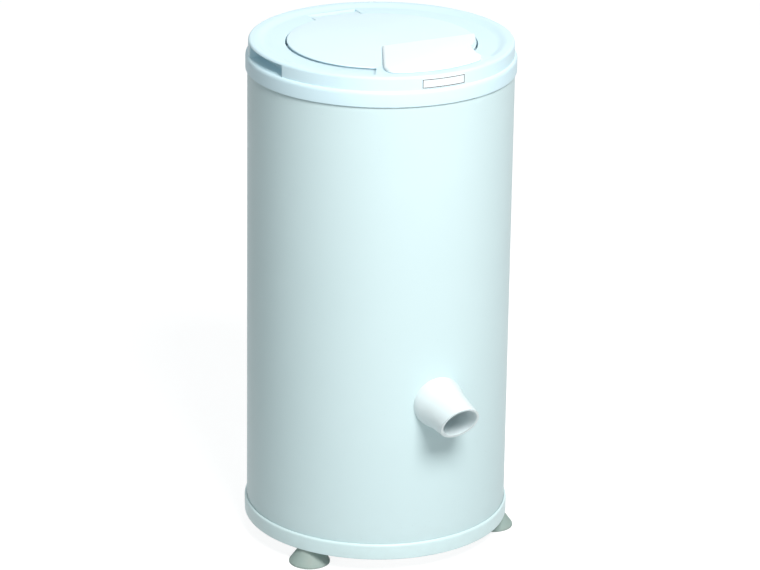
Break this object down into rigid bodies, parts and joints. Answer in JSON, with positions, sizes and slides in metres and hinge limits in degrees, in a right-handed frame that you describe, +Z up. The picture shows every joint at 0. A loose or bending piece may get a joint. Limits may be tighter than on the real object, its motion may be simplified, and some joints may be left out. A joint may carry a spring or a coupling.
{
  "type": "laundry spin dryer",
  "caption": "Upright cylindrical laundry spin dryer with a top-loading perforated drum, hinged domed lid with a latch-release handle, front drain spout and three rubber feet.",
  "frame": {"origin": "on the drum's axis at the plane the feet stand on", "axes": "+Z up along the drum's axis, -Y the front with the drain spout, +X to the right of someone in front of the machine"},
  "size_m": [0.346, 0.4267, 0.6722],
  "materials": {
    "enamel": "gloss enamel on sheet steel",
    "base_plastic": "semi-gloss moulding",
    "collar_plastic": "semi-gloss moulding",
    "lid_plastic": "gloss moulding",
    "handle_plastic": "gloss moulding",
    "spout_plastic": "gloss moulding",
    "plate": "blank printed plate",
    "inner_plastic": "satin moulding",
    "tub_plastic": "satin moulding",
    "black_plastic": "satin moulding",
    "slider_plastic": "satin moulding",
    "button_plastic": "satin moulding",
    "cable_sheath": "satin sheath",
    "brake_lining": "rough friction lining",
    "foot_rubber": "matt rubber",
    "black_rubber": "matt rubber",
    "seal_rubber": "matt rubber",
    "zinc_steel": "zinc plated",
    "zinc_sheet": "galvanised sheet",
    "bright_steel": "ground steel",
    "spring_steel": "drawn wire",
    "drum_steel": "stainless sheet",
    "lamination": "stacked laminations",
    "brake_iron": "turned iron",
    "cast_aluminium": "die cast",
    "capacitor_can": "drawn can",
    "copper_wire": "varnished copper wire"
  },
  "bodies": {
    "frame": {"casing": "enamel", "base_ring": "base_plastic", "base_pan": "zinc_sheet", "foot_front_left": "foot_rubber", "foot_front_right": "foot_rubber", "foot_rear": "foot_rubber", "foot_screws": "zinc_steel", "top_collar": "collar_plastic", "name_plate": "plate", "plastic_screws": "zinc_steel", "loading_funnel": "inner_plastic", "tub": "tub_plastic", "drain_spout": "spout_plastic", "spout_nut": "inner_plastic", "outlet_seal": "black_rubber", "neck_gaiter": "black_rubber", "bearing_housing": "cast_aluminium", "upper_bearing": "bright_steel", "lower_bearing": "bright_steel", "shaft_seal": "black_rubber", "upper_end_shield": "cast_aluminium", "lower_end_shield": "cast_aluminium", "stator_core": "lamination", "stator_windings": "copper_wire", "motor_carrier": "zinc_sheet", "motor_bolts": "zinc_steel", "suspension_springs": "spring_steel", "spring_buffers": "black_rubber", "brake_bracket": "zinc_sheet", "brake_spring": "spring_steel", "brake_cable": "cable_sheath", "capacitor": "capacitor_can", "terminal_block": "inner_plastic", "cord_gland": "black_rubber", "lock_housing": "inner_plastic", "strike_plate": "zinc_steel", "micro_switch": "black_plastic", "slider_spring": "spring_steel", "hinge_pin": "bright_steel"},
    "lid": {"lid_shell": "lid_plastic", "lid_liner": "inner_plastic", "lid_seal": "seal_rubber", "lid_screws": "zinc_steel", "handle_pin": "bright_steel", "handle_spring": "spring_steel", "latch_pin": "bright_steel"},
    "handle": {"lid_handle": "handle_plastic"},
    "latch": {"latch_hook": "zinc_steel"},
    "slider": {"interlock_slider": "slider_plastic"},
    "button": {"switch_button": "button_plastic"},
    "brake": {"brake_lever": "zinc_steel", "brake_pad": "brake_lining"},
    "rotor": {"drum": "drum_steel", "drum_hub": "cast_aluminium", "drum_nut": "bright_steel", "motor_shaft": "bright_steel", "rotor_core": "lamination", "cooling_fan": "black_plastic", "brake_drum": "brake_iron"}
  },
  "joints": [
    {"name": "lid_hinge", "type": "hinge", "parent": "frame", "child": "lid", "pos_m": [0, 0.134, 0.6552], "axis": [-1, 0, 0], "range_deg": [0, 95]},
    {"name": "handle_lift", "type": "hinge", "parent": "lid", "child": "handle", "pos_m": [0.046, -0.045, 0.6624], "axis": [-1, 0, 0], "range_deg": [0, 16], "stiffness_Nm_per_rad": 0.5, "springref_deg": -11.46},
    {"name": "latch_swing", "type": "hinge", "parent": "lid", "child": "latch", "pos_m": [0, -0.096, 0.657], "axis": [-1, 0, 0], "range_deg": [-23.1, 0]},
    {"name": "interlock_slide", "type": "slide", "parent": "frame", "child": "slider", "axis": [0, 1, 0], "range_m": [0, 0.00505]},
    {"name": "switch_travel", "type": "slide", "parent": "frame", "child": "button", "axis": [-1, 0, 0], "range_m": [0, 0.00122]},
    {"name": "brake_swing", "type": "hinge", "parent": "frame", "child": "brake", "pos_m": [-0.045, -0.052, 0.042], "axis": [0, 0, 1], "range_deg": [0, 2.45]},
    {"name": "drum_spin", "type": "hinge", "parent": "frame", "child": "rotor", "pos_m": [0, 0, 0.26], "axis": [0, 0, 1], "continuous": true}
  ],
  "couplings": [
    {"joint": "latch_swing", "follows": "handle_lift", "ratio": -1.44},
    {"joint": "interlock_slide", "follows": "handle_lift", "m_per_rad": 0.0179},
    {"joint": "switch_travel", "follows": "handle_lift", "m_per_rad": 0.0043},
    {"joint": "brake_swing", "follows": "handle_lift", "ratio": 0.15}
  ]
}
